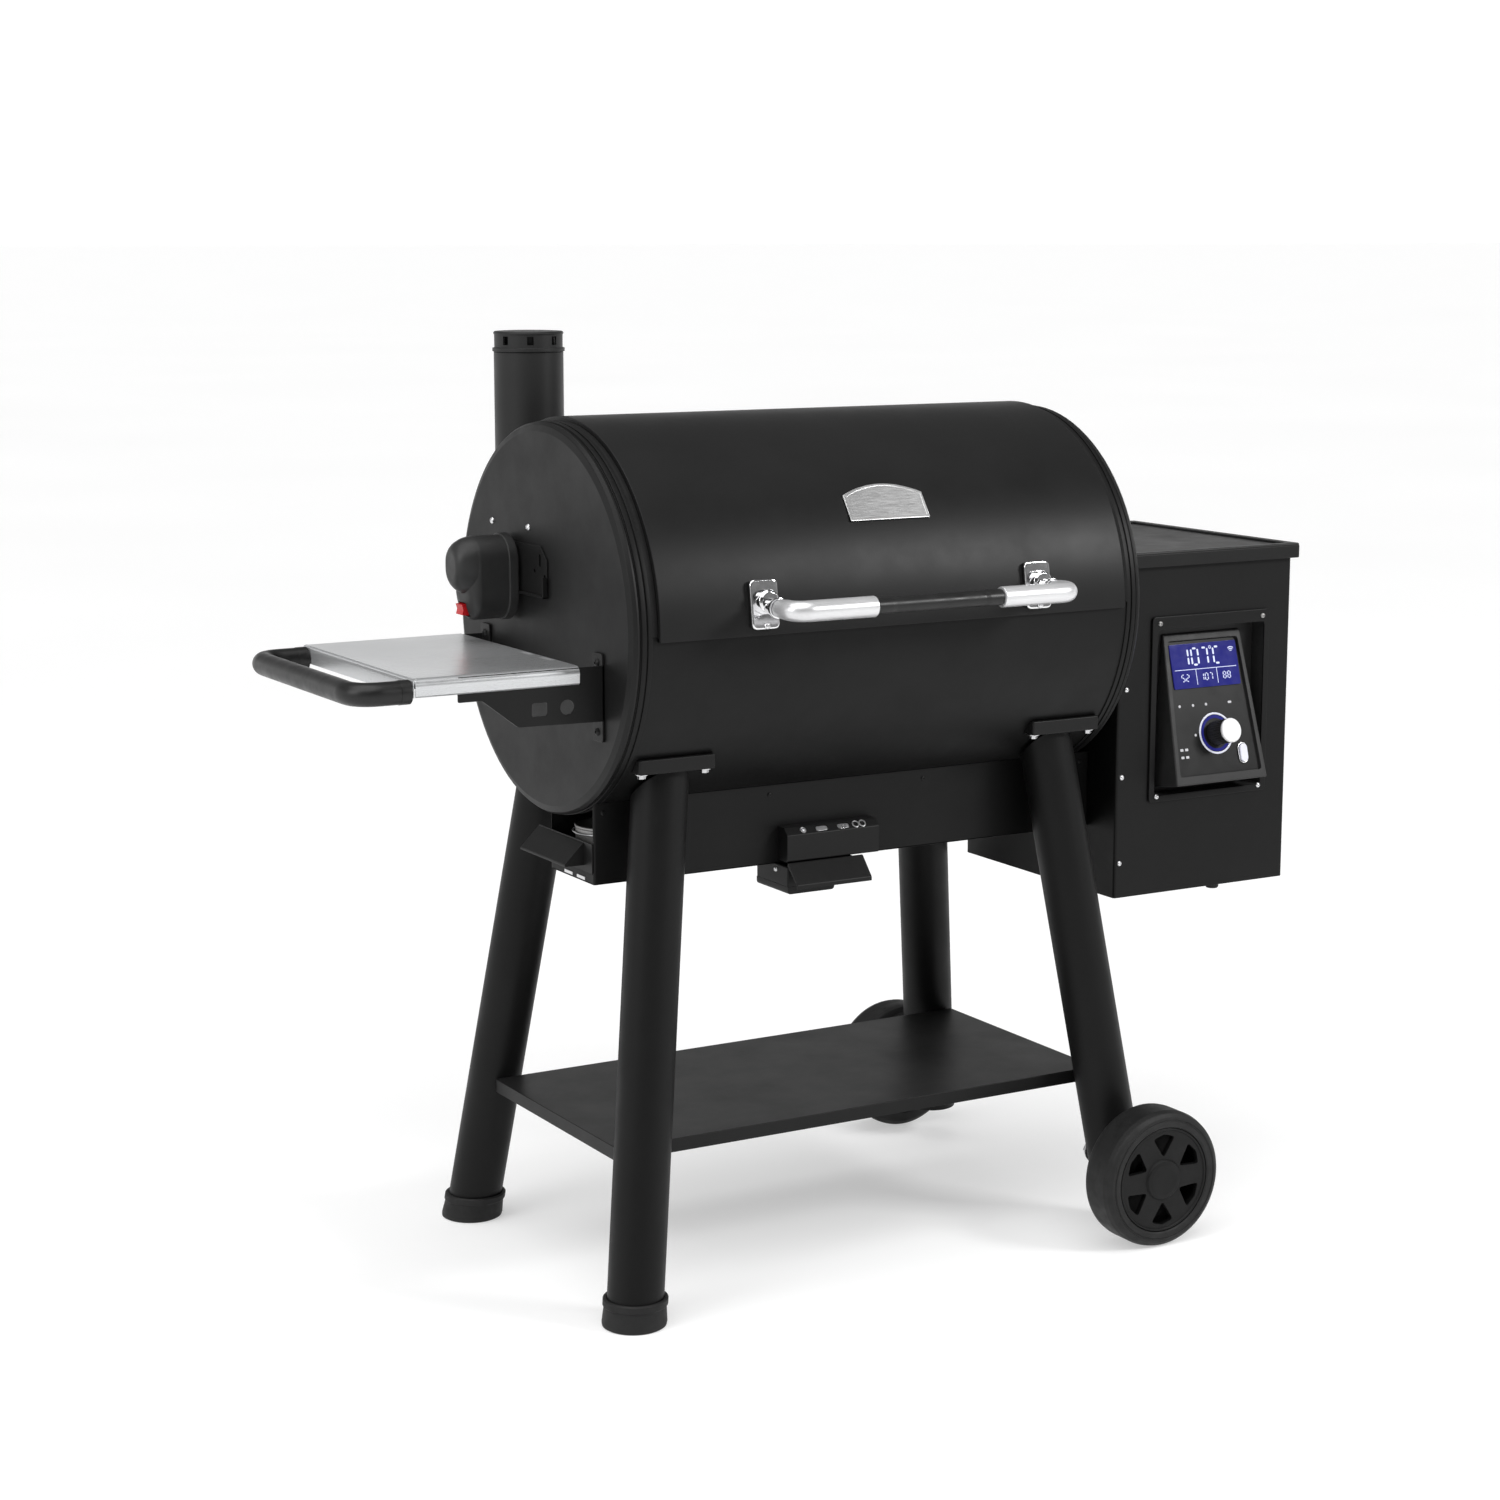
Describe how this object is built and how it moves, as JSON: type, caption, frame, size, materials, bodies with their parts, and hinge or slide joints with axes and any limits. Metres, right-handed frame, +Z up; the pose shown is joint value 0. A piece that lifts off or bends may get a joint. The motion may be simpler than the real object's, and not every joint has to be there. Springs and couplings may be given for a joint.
{
  "type": "pellet smoker grill",
  "caption": "Free-standing barrel pellet smoker grill with hinged lid, pellet hopper and controller, chimney, side shelf, lower shelf, two feet and two wheels.",
  "frame": {"origin": "on the ground, under the middle of the grill's outline", "axes": "+X towards the hopper, -Y the front with the lid handle, +Z up"},
  "size_m": [1.375, 0.6743, 1.177],
  "materials": {
    "black_paint": "satin black high-temperature paint",
    "black_plastic": "matt moulded plastic",
    "rubber": "matt rubber",
    "tyre": "solid tyre",
    "chrome": "polished",
    "satin_steel": "satin stainless steel",
    "brushed_steel": "brushed stainless steel",
    "cast_iron": "matt seasoned iron",
    "red_plastic": "gloss rocker",
    "display": "lit blue display window"
  },
  "bodies": {
    "root": {"barrel_body": "black_paint", "left_end_cap": "black_paint", "right_end_cap": "black_paint", "lid_hinge": "black_paint", "cooking_grate_left": "cast_iron", "cooking_grate_right": "cast_iron", "warming_rack": "satin_steel", "heat_diffuser": "satin_steel", "fire_box": "black_paint", "cleanout_panel": "black_paint", "burn_pot": "cast_iron", "auger_housing": "satin_steel", "fan_housing": "black_plastic", "leg_front_left": "black_paint", "leg_back_left": "black_paint", "leg_front_right": "black_paint", "leg_back_right": "black_paint", "leg_bracket_front_left": "black_paint", "leg_bracket_back_left": "black_paint", "leg_bracket_front_right": "black_paint", "leg_bracket_back_right": "black_paint", "foot_cap_front": "rubber", "foot_cap_back": "rubber", "axle_bolt_front": "satin_steel", "axle_bolt_back": "satin_steel", "lower_shelf": "black_paint", "hopper_box": "black_paint", "hopper_bin": "satin_steel", "control_bezel": "black_paint", "control_panel": "black_plastic", "display_window": "display", "power_inlet": "black_plastic", "stack_tube": "black_paint", "stack_cap": "black_paint", "side_shelf": "brushed_steel", "shelf_handle": "black_plastic", "shelf_bracket_front": "black_paint", "shelf_bracket_back": "black_paint", "rotisserie_motor": "black_plastic"},
    "lid": {"lid_shell": "black_paint", "lid_badge": "brushed_steel", "handle_post_left": "chrome", "handle_post_right": "chrome", "handle_sleeve_left": "satin_steel", "handle_sleeve_right": "satin_steel", "handle_grip": "black_plastic"},
    "hopper_lid": {"hopper_lid": "black_paint"},
    "knob": {"control_knob": "chrome"},
    "button": {"start_button": "satin_steel"},
    "front_wheel": {"tyre_front": "tyre", "wheel_hub_front": "black_plastic"},
    "back_wheel": {"tyre_back": "tyre", "wheel_hub_back": "black_plastic"},
    "auger": {"auger_screw": "satin_steel"},
    "fan": {"fan_rotor": "black_plastic"},
    "spit": {"spit_rod": "satin_steel"},
    "drive_switch": {"rotisserie_switch": "red_plastic"},
    "ash_drawer": {"ash_drawer": "black_paint"},
    "grease_tray": {"grease_tray": "black_paint", "grease_can": "satin_steel"}
  },
  "joints": [
    {"name": "lid_open", "type": "hinge", "parent": "root", "child": "lid", "pos_m": [0, 0.11135, 1.06229], "axis": [-1, 0, 0], "range_deg": [0, 85]},
    {"name": "hopper_lid_open", "type": "hinge", "parent": "root", "child": "hopper_lid", "pos_m": [0.53, 0.191, 0.877], "axis": [-1, 0, 0], "range_deg": [0, 80]},
    {"name": "knob_turn", "type": "hinge", "parent": "root", "child": "knob", "pos_m": [0.5397, -0.19167, 0.64376], "axis": [0, -0.965, 0.2623], "continuous": true},
    {"name": "button_press", "type": "slide", "parent": "root", "child": "button", "axis": [0, 0.965, -0.2623], "range_m": [0, 0.0015], "stiffness_N_per_m": 300, "springref_m": -0.001},
    {"name": "front_wheel_spin", "type": "hinge", "parent": "root", "child": "front_wheel", "pos_m": [0.355, -0.309, 0.0908], "axis": [0, 1, 0], "continuous": true},
    {"name": "back_wheel_spin", "type": "hinge", "parent": "root", "child": "back_wheel", "pos_m": [0.355, 0.309, 0.0908], "axis": [0, 1, 0], "continuous": true},
    {"name": "auger_turn", "type": "hinge", "parent": "root", "child": "auger", "pos_m": [0.3, 0, 0.556], "axis": [1, 0, 0], "continuous": true},
    {"name": "fan_spin", "type": "hinge", "parent": "root", "child": "fan", "pos_m": [0.476, -0.06, 0.476], "axis": [1, 0, 0], "continuous": true},
    {"name": "spit_turn", "type": "hinge", "parent": "root", "child": "spit", "pos_m": [0, 0.082, 0.884], "axis": [1, 0, 0], "continuous": true},
    {"name": "switch_rock", "type": "hinge", "parent": "root", "child": "drive_switch", "pos_m": [-0.4395, 0.084, 0.842], "axis": [0, 1, 0], "range_deg": [-6, 6]},
    {"name": "ash_drawer_slide", "type": "slide", "parent": "root", "child": "ash_drawer", "axis": [0, -1, 0], "range_m": [0, 0.07]},
    {"name": "grease_tray_slide", "type": "slide", "parent": "root", "child": "grease_tray", "axis": [-1, 0, 0], "range_m": [0, 0.09]}
  ]
}
